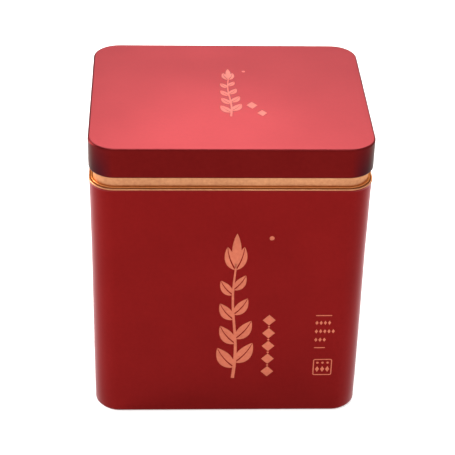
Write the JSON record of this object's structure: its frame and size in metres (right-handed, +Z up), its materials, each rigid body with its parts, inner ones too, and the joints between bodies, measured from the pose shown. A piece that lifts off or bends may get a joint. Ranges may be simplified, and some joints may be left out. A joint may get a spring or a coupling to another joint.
{
  "type": "rectangular tea tin",
  "caption": "Rectangular tin with rounded corners, a slip lid over a gold neck, and a press-in plug lid with a pull strap inside.",
  "frame": {"origin": "middle of the footprint, on the surface that the tin stands on", "axes": "+Z up, +X along the width, the printed front faces -Y"},
  "size_m": [0.091, 0.0746, 0.104],
  "materials": {
    "red_lacquer": "matt metallic red lacquer on tinplate",
    "gold_lacquer": "satin gold lacquer on tinplate",
    "tinplate": "plain bright tinplate"
  },
  "bodies": {
    "tin": {"body_shell": "red_lacquer", "body_bottom": "tinplate", "neck_collar": "gold_lacquer"},
    "plug_lid": {"inner_lid": "gold_lacquer", "pull_strap": "tinplate"},
    "slip_lid": {"lid_shell": "red_lacquer"}
  },
  "joints": [
    {"name": "plug_lid_lift", "type": "slide", "parent": "tin", "child": "plug_lid", "axis": [0, 0, 1], "range_m": [0, 0.04]},
    {"name": "slip_lid_lift", "type": "slide", "parent": "plug_lid", "child": "slip_lid", "axis": [0, 0, 1], "range_m": [0, 0.06]}
  ]
}
